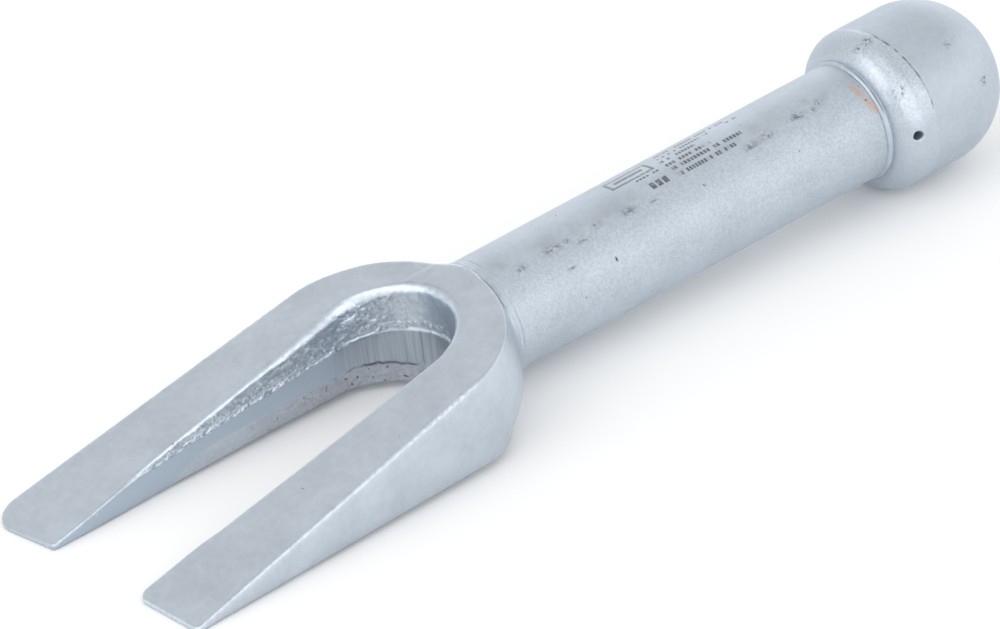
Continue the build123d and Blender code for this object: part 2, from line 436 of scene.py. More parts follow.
def rim_radius(x, y, thick):
    """Rounding of the slot's upper rim."""
    radius = np.minimum(np.clip(0.09 * thick, *RIM_RADIUS), 0.3 * thick)
    return radius + RIM_SWELL * near_place(x, y, RIM_SWELL_AT, RIM_SWELL_SPREAD)


def fork_distance(p):
    """The whole fork: its wedge, then the boss behind it, then the slot and the bore."""
    x, y, z = p.T
    reach = np.hypot(y, z)
    thick = np.maximum(fork_thickness(x), THINNEST)
    across = (z - BOTTOM_Z - BOTTOM_SLOPE * x) / thick * 2 - 1
    plan = outline_distance(x, y) - wall_bulge(x, y, across, thick)
    tip = tip_distance(x, y)
    plan = round_both(plan, tip, by_side(y, OUTER_CORNER_RADIUS))
    top = (z - TOP_Z - TOP_SLOPE * x) / math.hypot(1, TOP_SLOPE)
    bottom = BOTTOM_Z + BOTTOM_SLOPE * x - z
    sharper = 1 - YOKE_EDGE_LOSS * step(x, -4, 8) * (y < 0)
    edge = np.clip(0.035 * thick + 0.22, *TOP_EDGE_RADIUS) * sharper
    body = np.maximum(round_both(plan, top - CREASE * edge, edge), top)
    body = round_both(body, bottom, np.minimum(BOTTOM_EDGE_RADIUS, 0.25 * thick))

    boss = np.maximum(reach - SHANK_RADIUS - BOSS_STEP, BOSS_START_X - x)
    boss = round_both(boss, top, BOSS_TOP_RADIUS)
    # The -Y fillet runs out towards the top.
    fillet = BOSS_TOP_RADIUS + BOSS_FILLET[0] * step(-z, -9.5, 0)
    body = round_either(body, boss, fillet + (BOSS_FILLET[1] - fillet) * step(y, -4, 4))
    body = np.maximum(body, x - BUTT_X)
    bare = 1 - window(turn_of(p), *CREVICE_FILLED)
    crevice = CREVICE_RADIUS * bare - np.hypot(x - CREVICE_X, reach - SHANK_RADIUS - BOSS_STEP)
    body = round_both(body, crevice, CREVICE_EDGE_RADIUS)

    slot = slot_radius(p) - slot_reach(p)
    slot = round_both(slot, tip, by_side(y, INNER_CORNER_RADIUS))
    body = round_both(body, slot, SLOT_EDGE_RADIUS)
    rim = rim_radius(x, y, thick)
    body = np.maximum(body, round_both(top - CREASE * rim, slot, rim))
    bore = np.maximum(reach - FRONT_BORE_RADIUS, FRONT_BORE_START_X - x)
    return np.maximum(body, -bore)


def slot_zones(points, normal):
    """Shares, from 0 to 1, of each kind of surface inside the slot."""
    x, y, z = points.T
    up = above_band(points)
    throat = step(x, *THROAT_X)
    # The slot's walls, without the flats above and below or the bore behind.
    inner = step(slot_radius(points) - slot_reach(points), -1.9, -0.6)
    inner *= step(-np.abs(normal[:, 2]), -0.9, -0.5)
    inner *= step(np.hypot(y, z) + 20 * (x < 18), 6.3, 7.5)
    rim = np.clip(0.1 * fork_thickness(x), 0.5, 1.7)
    below_rim = step(TOP_Z + TOP_SLOPE * x - z, 0.4 * rim, 1.2 * rim)

    # The band's lower edge is torn, and climbs towards the tips.
    low_edge = BAND_BOTTOM_Z - z - 1.2 * step(x, 4, 13) - 5 * np.clip((-x - 33) / 14, 0, 1) ** 2
    tear = 0.35 * noise(points, (1.6, 1.6, 30)) + 0.2 * noise(points, (0.7, 0.7, 30))
    low_edge += tear * (0.3 + 0.7 * throat)
    band = inner * (1 - step(up, -0.3, 0.1)) * (1 - step(low_edge, -0.3, 0.1))
    lower = inner * step(low_edge, -0.2, 0.2) * (1 - 0.8 * step(-x, 5, 38))
    crack = inner * bell(low_edge, 0.22) * throat
    crack *= step(noise(points, (4, 4, 60)), -0.4, 0.1)

    draft = inner * below_rim * step(up, 0.3, 1.5)
    patches = 0.35 + 0.65 * step(noise(points + 3, (5, 3, 2)), -0.3, 0.2)
    smoother = throat * (1 - step(y, 5, 13))
    crumbs = draft * patches * (0.15 + 0.85 * (1 - smoother))
    ridge = inner * below_rim * step(up, -0.25, 0.05)
    ridge *= 1 - step(up, 0.6 + 0.9 * throat, 1.2 + 1.8 * throat)
    ridge *= step(noise(points + 7, (2.2, 2.2, 1.2)), -0.6 + 0.4 * throat, -0.1 + 0.4 * throat)
    ridge *= 1 - 0.85 * step(-x, 45, 56)
    return {
        "inner": inner,
        "on_rim": 1 - below_rim,
        "throat": throat,
        "band": band,
        "lower": lower,
        "crack": crack,
        "draft": draft,
        "crumbs": crumbs,
        "ridge": ridge,
    }


def fork_shade_and_marks(points, normal, zone):
    """Where the fork is dark: its cracks and one scratch, with painted shade in the crevice at the weld and
    along the creases where the flat meets the rim.
    """
    x, y, z = points.T
    # Painted shade in the crevice where the boss meets the weld bead.
    crevice_shade = bell(x - CREVICE_X, 0.32) * bell(np.hypot(y, z) - SHANK_RADIUS, 0.5)
    crevice_shade *= 0.5 * window(turn_of(points), 104, 122, 140, 165)
    under_top = TOP_Z + TOP_SLOPE * x - z
    # Painted shade along the crease where the flat turns into the rim, picked by the surface's slope.
    crease = bell(normal[:, 2] - 0.94, 0.025) * (under_top < 0.5) * step(x, -72, -64)
    crease *= 0.3 * (0.6 + 0.8 * noise(points, 2))
    scratch = 0.5 * zone["band"] * bell(np.degrees(np.arctan2(y, x)) - SCRATCH_ANGLE, 0.9)
    return np.clip(np.maximum(zone["crack"], crevice_shade) + crease + scratch, 0, 1)


def make_fork():
    points, faces = surface(fork_distance, FORK_LOW - FORK_MARGIN, FORK_HIGH + FORK_MARGIN, FORK_CELL)
    normal = slope_of(fork_distance, points, 0.05)
    x, y, z = points.T
    zone = slot_zones(points, normal)
    outside = 1 - zone["inner"]
    fade = step(x, *TIP_FADE_X)
    under_top = TOP_Z + TOP_SLOPE * x - z
    outer_edge = outside * bell(under_top, 0.9) * step(-normal[:, 2], -0.93, -0.8)
    # Painted highlight, partly real wear: the -Y outer edge short of the throat and the slot's upper rim
    # are lightened in the material.
    edge_wear_and_highlight = 0.7 * outer_edge * (y < 0) * (1 - step(x, -6, 3))
    rim_wear_and_highlight = zone["inner"] * zone["on_rim"] * step(-normal[:, 2], -0.93, -0.75)

    move = zone["draft"] * (0.14 * rough(points, (7, 5, 4), 2) + 0.05 * noise(points, (1.6, 1.6, 1.2)))
    move += zone["crumbs"] * fade * 0.17 * rough(points + 5, (1.7, 1.0, 0.9), 2)
    move += zone["ridge"] * fade * (0.18 * rough(points + 9, (1.3, 0.9, 0.8), 2) + 0.04)
    move += 0.03 * zone["band"] * zone["throat"] * noise(points, (0.7, 0.7, 14))
    move += zone["lower"] * 0.08 * rough(points + 3, 1.4)
    move -= 0.22 * zone["crack"]
    move += 0.03 * rough(points, 16, 2) + 0.02 * outside * noise(points, 2.2)
    move += outer_edge * 0.09 * noise(points, 0.9) * (0.3 + bell(x + 6, 14))
    layers = {
        "draft": zone["draft"],
        "crumbs": zone["crumbs"] * fade,
        "ridge": zone["ridge"] * fade,
        "band": zone["band"],
        "lower": zone["lower"],
        "combed": zone["band"] * zone["throat"],
        "shade_and_marks": fork_shade_and_marks(points, normal, zone),
        "wear_and_highlight": np.maximum(edge_wear_and_highlight, rim_wear_and_highlight),
    }
    fork = mesh_piece("fork_forging", points + normal * move[:, None], faces, **layers)
    thin_out(fork, FORK_KEPT)
    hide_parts("prong_fork")
    return fork


# ---- shank -----------------------------------------------------------------
def shank_profile():
    """Outline of the bar with its spigots and weld chamfers, as (x, radius)."""
    front, rear = SHANK_LOW[0], SHANK_HIGH[0]
    body = np.linspace(BUTT_X + PREP, HEAD_FRONT_X - PREP, int((HEAD_FRONT_X - BUTT_X) / SHANK_CELL))
    head_side = [
        (HEAD_FRONT_X, SHANK_RADIUS - PREP),
        (HEAD_FRONT_X, REAR_SPIGOT_RADIUS),
        (rear - SPIGOT_CHAMFER, REAR_SPIGOT_RADIUS),
        (rear, REAR_SPIGOT_RADIUS - SPIGOT_CHAMFER),
        (rear, AXIS_GAP),
    ]
    fork_side = [
        (front, AXIS_GAP),
        (front, FRONT_SPIGOT_RADIUS - SPIGOT_CHAMFER),
        (front + SPIGOT_CHAMFER, FRONT_SPIGOT_RADIUS),
        (BUTT_X, FRONT_SPIGOT_RADIUS),
        (BUTT_X, SHANK_RADIUS - PREP),
    ]
    bar = [(x, SHANK_RADIUS) for x in body]
    return np.array(fork_side + bar + head_side)


# Marks along the forging seam: x, angle, length along x, width.
SEAM_MARKS = (
    (32.3, 120, 1.2, 0.6),
    (41.0, 117, 2.6, 0.8),
    (44.9, 117, 0.9, 0.5),
    (42.4, 141, 0.9, 0.5),
    (48.3, 124, 1.4, 0.5),
    (53.3, 117, 1.0, 0.7),
    (61.3, 120, 1.7, 0.9),
    (67.7, 123, 1.0, 0.3),
    (95.0, 121, 1.8, 0.8),
    (99.7, 119, 1.5, 0.8),
    (108.6, 116, 1.9, 1.0),
    (112.6, 118, 1.0, 0.6),
    (115.0, 114, 1.0, 0.8),
)
LONE_PIT = (52.9, 154, 0.28, 0.6)
STAIN_PIT = (124.7, 134, 0.25, 0.35)


def spots(points, places):
    """How far each point lies inside one of the listed spots, from 0 to 1."""
    turn = turn_of(points)
    shade = np.zeros(len(points))
    wobble = noise(points, 0.8)
    for x, angle, length, width in places:
        along = (points[:, 0] - x) / length
        across = np.radians(turn - angle) * SHANK_RADIUS / width
        shade = np.maximum(shade, np.exp(-(along**2 + across**2) * (1 + 0.5 * wobble)))
    return shade


def make_shank():
    points, faces = lathe(shank_profile(), SHANK_SIDES, closed=False)
    radius = np.hypot(points[:, 1], points[:, 2])
    skin = radius > SHANK_RADIUS - 0.01
    out = points * [0, 1, 1] / np.maximum(radius, 1e-6)[:, None]
    turn = turn_of(points)
    sway = turn - VALLEY_ANGLE - 5 * noise(points * [1, 0, 0], 40)
    valley = bell(sway, np.where(sway > 0, 5, 11))
    marks, pit = spots(points, SEAM_MARKS), spots(points, (LONE_PIT,))
    groove = bell(points[:, 0] - SECOND_GROOVE_X, 0.4) * window(turn, 144, 156, 186, 204)
    move = 0.05 * rough(points, (30, 9, 9), 2) + 0.016 * rough(points, 1.4, 2)
    move -= VALLEY_DEPTH * valley * (0.7 + 0.3 * rough(points, (9, 4, 4), 2)) + 0.08 * marks
    move -= PIT_DEPTH * pit + 0.3 * groove

    lean = STAIN_X + 2.2 * np.clip((turn - 111) / 39, 0, 1) ** 2
    stain = bell(points[:, 0] - lean, 0.7) * window(turn, 106, 116, 145, 155)
    stain = np.clip(stain * (1 + 0.6 * noise(points, 1.6)), 0, 1)
    dark = np.maximum(pit, spots(points, (STAIN_PIT,)))
    layers = {
        "marks": marks,
        # The second groove is also darkened: painted shade in it; the pits are darkened too.
        "shade_and_marks": np.maximum(dark, 0.33 * groove),
        "valley": valley,
        "stain": stain,
        "grain": 0.35 + 0.65 * window(turn, 108, 122, 178, 215),
    }
    layers = {layer: values * skin for layer, values in layers.items()}
    shank = mesh_piece("shank_bar", points + out * (move * skin)[:, None], faces, **layers)
    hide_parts("shank")
    return shank


# ---- head ------------------------------------------------------------------
def head_outline(x):
    """Outer radius of the head along its length."""
    front = np.clip((SHOULDER_END_X - x) / (SHOULDER_END_X - HEAD_FRONT_X), 0, 1)
    back = np.clip((x - DOME_START_X) / (HEAD_END_X - DOME_START_X), 0, 1)
    rise = HEAD_RADIUS - NECK_RADIUS
    fall = HEAD_RADIUS - STRIKING_FACE_RADIUS
    shoulder = NECK_RADIUS + rise * (1 - front**SHOULDER_EXPONENT) ** (1 / SHOULDER_EXPONENT)
    dome = STRIKING_FACE_RADIUS + fall * (1 - back**DOME_EXPONENT) ** (1 / DOME_EXPONENT)
    return np.minimum(shoulder, dome)


def head_distance(p):
    """The whole head, with its socket and its gas vent."""
    x, y, z = p.T
    reach = np.hypot(y, z)
    worn = WORN_DEPTH * window(turn_of(p), 80, 105, 160, 172) * window(x, 128.5, 131, 132, 136.5)
    slope = (head_outline(x + 0.05) - head_outline(x - 0.05)) / 0.1
    side = (reach - head_outline(x) + worn) / np.hypot(1, np.clip(slope, -6, 6))
    body = np.maximum(side, np.maximum(HEAD_FRONT_X - x, x - HEAD_END_X))
    socket = np.maximum(reach - SOCKET_RADIUS, x - SOCKET_END_X)
    body = np.maximum(body, -socket)
    along = x - VENT_X
    around = y * math.sin(VENT_ANGLE) - z * math.cos(VENT_ANGLE)
    outward = y * math.cos(VENT_ANGLE) + z * math.sin(VENT_ANGLE)
    corner = np.arctan2(around, along)
    vent = np.hypot(along, around) - VENT_RADIUS * (1 + 0.06 * np.cos(3 * corner + 0.6))
    vent = np.maximum(vent, VENT_FLOOR - outward)
    return round_both(body, -vent, VENT_EDGE_RADIUS)


# Soot spots: x, angle, size.
SOOT_SPOTS = (
    (130.5, 142, 1.3),
    (132.1, 97, 1.1),
    (130.0, 97, 0.9),
    (145.9, 130, 0.7),
    (150.7, 163, 0.9),
)


def make_head():
    points, faces = surface(head_distance, HEAD_LOW - HEAD_MARGIN, HEAD_HIGH + HEAD_MARGIN, HEAD_CELL)
    normal = slope_of(head_distance, points, 0.05)
    radius = np.hypot(points[:, 1], points[:, 2])
    x = points[:, 0]
    turn = turn_of(points)
    skin = np.clip(step(radius, SOCKET_RADIUS + 1, SOCKET_RADIUS + 2) + step(x, 150, 152), 0, 1)
    edge = GROOVE_X - GROOVE_LEAN * np.clip((147 - turn) / 71, 0, 1) ** 1.3
    edge += 0.15 * noise(points, 2.5)
    seen = window(turn, 70, 100, 160, 170)
    groove = seen * bell(x - edge, 0.3) * (0.7 + 0.5 * noise(points, 1.5))
    front = skin * (1 - step(x - edge, -0.15, 0.2)) * (0.3 + 0.7 * seen)
    soot = np.zeros(len(points))
    for at_x, angle, size in SOOT_SPOTS:
        spot = ((x - at_x) / size) ** 2 + (np.radians(turn - angle) * HEAD_RADIUS / size) ** 2
        soot = np.maximum(soot, np.exp(-spot))
    move = 0.06 * rough(points, 9, 2) + 0.016 * front * rough(points, 1.3, 2) - 0.16 * groove
    points = points + normal * (move * skin)[:, None]
    # The groove's share also darkens the material there: painted shade in the groove.
    layers = {"front": front, "soot": soot * skin, "shade_and_marks": np.clip(groove * skin, 0, 1)}
    head = mesh_piece("head_cap", points, faces, **layers)
    thin_out(head, HEAD_KEPT)
    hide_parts("striking_head")
    return head


# ---- weld beads ------------------------------------------------------------
BEAD_STEPS = 12              # across a bead
BEAD_SIDES = 300             # round it


def arc_between(start, end, bulge, steps):
    """Points along a shallow arc that rises by bulge over a straight line."""
    t = np.linspace(0, 1, steps + 1)
    line = np.outer(1 - t, start) + np.outer(t, end)
    across = np.array([-(end[1] - start[1]), end[0] - start[0]])
    across = across / np.linalg.norm(across)
    return [tuple(p) for p in line + np.outer(4 * t * (1 - t) * bulge, across)]


def bead_ring(name, node, root, left, right, bulge, flat_top, fold):
    """A closed ring, slightly wavy outside, as a turned-down weld is.

    It is lower by flat_top along its top, and fold is the strength of a crease
    that runs round the upper part of its -Y side.
    """
    outline = [root] + arc_between(left, right, bulge, BEAD_STEPS)
    points, faces = lathe(np.array(outline), BEAD_SIDES, closed=True)
    radius = np.hypot(points[:, 1], points[:, 2])
    out = points * [0, 1, 1] / radius[:, None]
    skin = step(radius, left[1] - 0.05, left[1] + 0.25)
    turn = turn_of(points)
    along = (points[:, 0] - left[0]) / (right[0] - left[0])
    crease = fold * bell(along - 0.6, 0.13) * window(turn, 88, 104, 146, 160)
    crease *= np.clip(0.8 + 0.7 * noise(points, (1.5, 3, 3)), 0, 1)
    lift = 0.1 * rough(points, (2.5, 5, 5), 2) - flat_top * bell(turn - 90, 26) - 0.15 * crease
    ring = mesh_piece(name, points + out * (lift * skin)[:, None], faces, crease=crease * skin)
    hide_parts(node)
    return ring


def make_fork_bead():
    return bead_ring(
        "fork_bead_ring",
        "fork_weld_bead",
        root=(BUTT_X, SHANK_RADIUS - PREP),
        left=(BUTT_X - 0.8, SHANK_RADIUS - 0.2),
        right=(BUTT_X + 1.2, SHANK_RADIUS - 0.05),
        bulge=0.16,
        flat_top=0.1,
        fold=0,
    )


def make_head_bead():
    return bead_ring(
        "head_bead_ring",
        "head_weld_bead",
        root=(HEAD_FRONT_X - 0.1, SHANK_RADIUS - PREP),
        left=(HEAD_FRONT_X - 1.15, SHANK_RADIUS - 0.06),
        right=(HEAD_FRONT_X + 0.1, SHANK_RADIUS + 0.45),
        bulge=0.2,
        flat_top=0,
        fold=1,
    )


# ---- materials -------------------------------------------------------------
class Nodes:
    """Short way to write a material's node tree."""

    def __init__(self, name):
        self.material = bpy.data.materials.new(name)
        self.material.use_nodes = True
        self.tree = self.material.node_tree
        self.tree.nodes.clear()
        self.shader = self.add("ShaderNodeBsdfPrincipled")
        output = self.add("ShaderNodeOutputMaterial")
        self.link(self.shader.outputs[0], output.inputs["Surface"])
        self.place = self.add("ShaderNodeTexCoord").outputs["Object"]

    def add(self, kind, **settings):
        node = self.tree.nodes.new(kind)
        for key, value in settings.items():
            setattr(node, key, value)
        return node

    def link(self, source, target):
        self.tree.links.new(source, target)

    def put(self, value, socket):
        """Sets a socket to a plain value, or links it to another node's output."""
        if isinstance(value, (int, float, tuple)):
            socket.default_value = value
        else:
            self.link(value, socket)

    def math(self, kind, *values):
        node = self.add("ShaderNodeMath", operation=kind)
        for socket, value in zip(node.inputs, values):
            self.put(value, socket)
        return node.outputs[0]

    def noise(self, size_mm, detail=3.0, roughness=0.5, place=None):
        node = self.add("ShaderNodeTexNoise")
        self.link(place or self.place, node.inputs["Vector"])
        node.inputs["Scale"].default_value = 1 / (size_mm * MM)
        node.inputs["Detail"].default_value = detail
        node.inputs["Roughness"].default_value = roughness
        return node.outputs["Fac"]

    def streaks(self, width_mm, length_mm):
        """Noise drawn out along Z."""
        stretch = self.add("ShaderNodeVectorMath", operation="MULTIPLY")
        self.link(self.place, stretch.inputs[0])
        stretch.inputs[1].default_value = (1, 1, width_mm / length_mm)
        return self.noise(width_mm, 3, 0.6, stretch.outputs[0])

    def spread(self, value, low, high, to_low, to_high):
        """Carries a value from one range over to another, clamped at its ends."""
        node = self.add("ShaderNodeMapRange")
        self.put(value, node.inputs["Value"])
        ends = ("From Min", "From Max", "To Min", "To Max")
        for key, end in zip(ends, (low, high, to_low, to_high)):
            node.inputs[key].default_value = end
        return node.outputs["Result"]

    def mix(self, share, a, b):
        """Colour a where share is 0 and colour b where it is 1."""
        node = self.add("ShaderNodeMix", data_type="RGBA")
        self.put(share, node.inputs["Factor"])
        self.put(a, node.inputs[6])
        self.put(b, node.inputs[7])
        return node.outputs[2]

    def cover(self, color, layer, strength, tone):
        """Lays a tone over a colour where a layer is 1, at the given strength."""
        return self.mix(self.math("MULTIPLY", layer, strength), color, tone)

    def layer(self, name):
        """One of the named values at the mesh's vertices."""
        return self.add("ShaderNodeAttribute", attribute_name=name).outputs["Fac"]

    def bump(self, height, depth_mm, below=None):
        node = self.add("ShaderNodeBump")
        node.inputs["Distance"].default_value = depth_mm * MM
        self.link(height, node.inputs["Height"])
        if below is not None:
            self.link(below, node.inputs["Normal"])
        return node.outputs["Normal"]


ZINC = (0.520, 0.580, 0.645, 1)
RAW_STEEL = (0.46, 0.48, 0.53, 1)
BAND_TONE = (0.41, 0.485, 0.57, 1)
STAIN_TONE = (0.62, 0.45, 0.34, 1)
# Dark of pits, also used for painted shade in creases, grooves and the crevice.
PIT_AND_SHADE_DARK = (0.05, 0.055, 0.065, 1)
ETCH_DARK = (0.11, 0.115, 0.13, 1)
METALLIC = 0.9


def shaded(color, share):
    """A colour made lighter or darker."""
    return tuple(channel * share for channel in color[:3]) + (1,)


def zinc(name, roughness):
    """Satin zinc plate with faint clouds; returns its nodes and base colour."""
    nodes = Nodes(name)
    nodes.shader.inputs["Metallic"].default_value = METALLIC
    clouds = nodes.noise(11, 3, 0.55)
    mottle = nodes.noise(1.6, 3, 0.6)
    blend = nodes.math("ADD", nodes.math("MULTIPLY", clouds, 0.6), nodes.math("MULTIPLY", mottle, 0.4))
    color = nodes.mix(nodes.spread(blend, 0.38, 0.62, 0, 1), shaded(ZINC, 0.93), shaded(ZINC, 1.06))
    gloss = nodes.spread(mottle, 0.3, 0.7, roughness - 0.03, roughness + 0.03)
    nodes.put(gloss, nodes.shader.inputs["Roughness"])
    return nodes, color


def zinc_tones(nodes, grain, dark, light):
    """Zinc that runs from a darker to a lighter shade, grain by grain."""
    return nodes.mix(nodes.spread(grain, 0.36, 0.64, 0, 1), shaded(ZINC, dark), shaded(ZINC, light))


def speckle(nodes, color, grain, share):
    """Light and dark grains of a shot-blasted skin."""
    return nodes.mix(share, color, zinc_tones(nodes, grain, 0.8, 1.2))


def add_spots(nodes, color, size_mm, amount, share=None, dark=PIT_AND_SHADE_DARK):
    """Small dark pits scattered over a surface, or over the part that share marks."""
    start = 0.5 + amount
    dots = nodes.spread(nodes.noise(size_mm, 1.5, 0.5), start, start + 0.05, 0, 0.8)
    if share is not None:
        dots = nodes.math("MULTIPLY", dots, share)
    return nodes.mix(dots, color, dark), dots


def fork_material():
    nodes, color = zinc("fork_zinc", roughness=0.33)
    draft, crumbs, ridge, band = (nodes.layer(name) for name in ("draft", "crumbs", "ridge", "band"))
    lower, combed, shade_and_marks = (nodes.layer(name) for name in ("lower", "combed", "shade_and_marks"))
    color, pits = add_spots(nodes, color, 2.4, 0.28)

    # Crumbly draft above the band, with a broken ridge along its foot.
    crumb_noise = nodes.noise(0.7, 2, 0.6)
    color = nodes.cover(color, draft, 0.7, ZINC)
    color = nodes.cover(color, crumbs, 0.8, zinc_tones(nodes, crumb_noise, 0.72, 1.4))
    color = nodes.cover(color, ridge, 0.85, zinc_tones(nodes, crumb_noise, 0.8, 1.32))

    # Trimmed band, with upright scratches round the throat.
    color = nodes.cover(color, band, 0.85, BAND_TONE)
    scratches = nodes.streaks(0.35, 14)
    scratched = nodes.spread(scratches, 0.35, 0.65, 0, 1)
    scratch_tone = nodes.mix(scratched, shaded(ZINC, 0.58), shaded(ZINC, 0.84))
    polished = nodes.spread(nodes.streaks(1.6, 40), 0.4, 0.65, 0, 0.5)
    scratch_tone = nodes.mix(polished, scratch_tone, shaded(ZINC, 0.92))
    color = nodes.cover(color, combed, 0.8, scratch_tone)

    # Forging scale below the band.
    scale = nodes.spread(nodes.noise(0.8, 3), 0.35, 0.65, 0, 1)
    scale_tone = nodes.mix(scale, shaded(RAW_STEEL, 0.8), shaded(RAW_STEEL, 1.1))
    color = nodes.cover(color, lower, 0.85, scale_tone)
    color, _ = add_spots(nodes, color, 1.1, 0.17, lower)

    # Edges lightened, partly rubbed bright by wear and partly a painted highlight; then cracks, and painted
    # shade in creases.
    patchy_wear_and_highlight = nodes.spread(nodes.noise(1.2, 2), 0.35, 0.6, 0.35, 0.9)
    color = nodes.mix(nodes.math("MULTIPLY", nodes.layer("wear_and_highlight"), patchy_wear_and_highlight), color, shaded(ZINC, 1.5))
    # Cracks and a scratch darkened, with painted shade in the crevice and along the rim's crease.
    color = nodes.mix(shade_and_marks, color, PIT_AND_SHADE_DARK)
    nodes.put(color, nodes.shader.inputs["Base Color"])

    fine = nodes.bump(nodes.noise(0.8, 2), 0.012)
    pitted = nodes.bump(nodes.math("SUBTRACT", 1.0, pits), 0.1, fine)
    broken = nodes.math("MAXIMUM", nodes.math("MAXIMUM", crumbs, ridge), nodes.math("MULTIPLY", lower, 0.6))
    crumbly = nodes.bump(nodes.math("MULTIPLY", crumb_noise, broken), 0.24, pitted)
    combing = nodes.bump(nodes.math("MULTIPLY", scratches, combed), 0.06, crumbly)
    nodes.put(combing, nodes.shader.inputs["Normal"])
    return nodes.material


# Plain etched block on the shank: rows of dashes with no lettering.
# Each row: start and end along x, middle angle, height in degrees, dash length.
ETCHED_ROWS = (
    (77.0, 91.0, 79.5, 3.2, 0.8),
    (77.4, 96.5, 71.5, 3.6, 0.8),
    (95.8, 99.3, 77.8, 3.4, 0.9),
    (76.3, 85.9, 86.8, 4.0, 0.8),
    (76.4, 89.0, 94.7, 4.4, 0.9),
    (76.8, 95.8, 102.0, 4.8, 0.9),
    (76.5, 93.2, 110.8, 5.2, 0.8),
    (68.2, 75.5, 94.6, 2.8, 0.9),
    (69.4, 75.9, 108.4, 8.4, 1.7),
)
DASH_FILL = (0.68, 0.78)       # a dash fills its cell up to here, then fades out
DASH_LOSS = (0.1, 0.2)         # a tenth of the dashes is missing, another tenth is faint
ROW_SHIFT = 40.5               # so that each row lacks other dashes
ETCHED_FRAME = (68.6, 81.5)    # x and angle of the middle of a plain frame with a bar in it
ETCHED_FRAME_BOXES = ((5.8, 9.2), (5.1, 6.6), (3.9, 2.4))  # half sizes: outside, inside, bar
ETCHED_FRAME_DEPTH = 0.75


def within(nodes, value, middle, half, soft):
    """1 where value is within half of middle, falling to 0 over soft."""
    off = nodes.math("ABSOLUTE", nodes.math("SUBTRACT", value, middle))
    return nodes.spread(off, half - soft, half, 1, 0)


def etched_box(nodes, place, middle, half):
    """1 inside a box on the shank; place, middle and half are each an x and an angle."""
    length = within(nodes, place[0], middle[0], half[0], 0.1)
    height = within(nodes, place[1], middle[1], half[1], 0.5)
    return nodes.math("MULTIPLY", length, height)


def etched_row(nodes, place, row, number):
    """A row of dashes with some missing."""
    start, end, angle, height, dash = row
    cell = nodes.math("DIVIDE", place[0], dash)
    luck = nodes.add("ShaderNodeTexWhiteNoise", noise_dimensions="1D")
    nodes.put(nodes.math("ADD", nodes.math("FLOOR", cell), ROW_SHIFT * number), luck.inputs["W"])
    filled = nodes.spread(nodes.math("FRACT", cell), *DASH_FILL, 1, 0)
    kept = nodes.spread(luck.outputs["Value"], *DASH_LOSS, 0, 1)
    box = etched_box(nodes, place, ((start + end) / 2, angle), ((end - start) / 2, height / 2))
    return nodes.math("MULTIPLY", box, nodes.math("MULTIPLY", filled, kept))


def etching(nodes):
    """Mask of the etched block."""
    parts = nodes.add("ShaderNodeSeparateXYZ")
    nodes.link(nodes.place, parts.inputs[0])
    x, y, z = parts.outputs
    along = nodes.math("MULTIPLY", x, 1 / MM)
    turn = nodes.math("MULTIPLY", nodes.math("ARCTAN2", z, y), 180 / math.pi)
    place = (along, turn)
    mask = 0.0
    for number, row in enumerate(ETCHED_ROWS):
        mask = nodes.math("MAXIMUM", mask, etched_row(nodes, place, row, number))
    outside, hollow, bar = (etched_box(nodes, place, ETCHED_FRAME, half) for half in ETCHED_FRAME_BOXES)
    shape = nodes.math("ADD", nodes.math("SUBTRACT", outside, hollow), bar)
    mask = nodes.math("MAXIMUM", mask, nodes.math("MULTIPLY", shape, ETCHED_FRAME_DEPTH))
    worn = nodes.spread(nodes.noise(0.8, 2), 0.3, 0.45, 0.45, 1)
    return nodes.math("MULTIPLY", mask, worn)


def shank_material():
    nodes, color = zinc("shank_zinc", roughness=0.52)
    grain = nodes.noise(0.55, 2, 0.65)
    color = speckle(nodes, color, grain, nodes.math("MULTIPLY", nodes.layer("grain"), 0.4))
    # Painted shade along the forging seam's shallow valley, in soft clouds.
    clouded = nodes.spread(nodes.noise(3.5, 3), 0.42, 0.66, 0, 0.5)
    color = nodes.cover(color, nodes.layer("valley"), clouded, shaded(ZINC, 0.74))
    color = nodes.cover(color, nodes.layer("stain"), 0.85, STAIN_TONE)
    flecks = nodes.spread(nodes.noise(0.9, 2, 0.6), 0.42, 0.54, 0, 0.75)
    color = nodes.cover(color, nodes.layer("marks"), flecks, shaded(ZINC, 0.25))
    # Dark pits, and painted shade in the second groove.
    color = nodes.mix(nodes.spread(nodes.layer("shade_and_marks"), 0.2, 0.7, 0, 0.95), color, PIT_AND_SHADE_DARK)
    color, _ = add_spots(nodes, color, 1.5, 0.26, None, shaded(ZINC, 0.4))
    color = nodes.cover(color, etching(nodes), 0.85, ETCH_DARK)
    nodes.put(color, nodes.shader.inputs["Base Color"])
    grainy = nodes.bump(nodes.math("MULTIPLY", grain, nodes.layer("grain")), 0.06)
    nodes.put(nodes.bump(nodes.noise(2.2, 2), 0.05, grainy), nodes.shader.inputs["Normal"])
    return nodes.material


